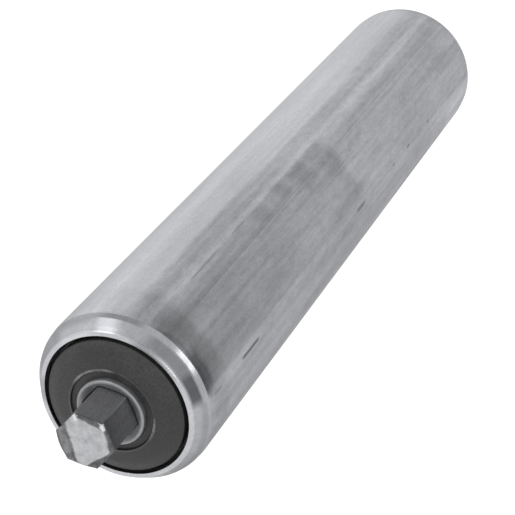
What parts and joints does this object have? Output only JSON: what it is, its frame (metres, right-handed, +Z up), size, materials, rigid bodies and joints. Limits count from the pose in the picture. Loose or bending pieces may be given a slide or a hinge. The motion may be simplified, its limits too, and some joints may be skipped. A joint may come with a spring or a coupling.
{
  "type": "conveyor roller",
  "caption": "Straight gravity conveyor roller: galvanised steel tube with rolled-in ends over sealed ball bearings and a spring-loaded hexagonal axle.",
  "frame": {"origin": "on the roller's axis, halfway between the two ends of the tube", "axes": "+Y along the roller's axis towards the end with the spring inside, +Z up, X across"},
  "size_m": [0.0636, 0.356, 0.0634],
  "materials": {
    "tube_galvanised": "galvanised, drawn lengthways, with weld seam and faint stains",
    "axle_steel": "cold-drawn bar, sheared ends",
    "core_steel": "turned, zinc plated",
    "bearing_steel": "ground and polished",
    "spring_steel": "oil tempered",
    "shield_polymer": "moulded, fine matt grain",
    "housing_polymer": "moulded",
    "cage_polymer": "moulded, natural",
    "seal_rubber": "moulded"
  },
  "bodies": {
    "axle": {"hex_axle": "axle_steel", "near_stop_ring": "spring_steel", "near_thrust_washer": "core_steel", "axle_spring": "spring_steel", "spring_stop_washer": "core_steel", "spring_stop_ring": "spring_steel"},
    "bearing_cores": {"near_hex_core": "core_steel", "near_inner_race": "bearing_steel", "near_dust_shield": "shield_polymer", "far_hex_core": "core_steel", "far_inner_race": "bearing_steel", "far_dust_shield": "shield_polymer", "spring_seat_washer": "core_steel"},
    "roller_shell": {"roller_tube": "tube_galvanised", "near_bearing_housing": "housing_polymer", "near_outer_race": "bearing_steel", "near_labyrinth_ring": "housing_polymer", "near_grease_seal": "seal_rubber", "far_bearing_housing": "housing_polymer", "far_outer_race": "bearing_steel", "far_labyrinth_ring": "housing_polymer", "far_grease_seal": "seal_rubber"},
    "near_balls": {"near_bearing_balls": "bearing_steel", "near_ball_cage": "cage_polymer"},
    "far_balls": {"far_bearing_balls": "bearing_steel", "far_ball_cage": "cage_polymer"}
  },
  "joints": [
    {"name": "axle_push_in", "type": "slide", "parent": "axle", "child": "bearing_cores", "axis": [0, -1, 0], "range_m": [0, 0.013], "stiffness_N_per_m": 1500, "springref_m": -0.01, "deforming": ["axle_spring"]},
    {"name": "tube_spin", "type": "hinge", "parent": "bearing_cores", "child": "roller_shell", "pos_m": [0, 0, 0], "axis": [0, 1, 0], "continuous": true},
    {"name": "near_ball_orbit", "type": "hinge", "parent": "bearing_cores", "child": "near_balls", "pos_m": [0, 0, 0], "axis": [0, 1, 0], "continuous": true},
    {"name": "far_ball_orbit", "type": "hinge", "parent": "bearing_cores", "child": "far_balls", "pos_m": [0, 0, 0], "axis": [0, 1, 0], "continuous": true}
  ],
  "couplings": [
    {"joint": "near_ball_orbit", "follows": "tube_spin", "ratio": 0.60309},
    {"joint": "far_ball_orbit", "follows": "tube_spin", "ratio": 0.60309}
  ]
}
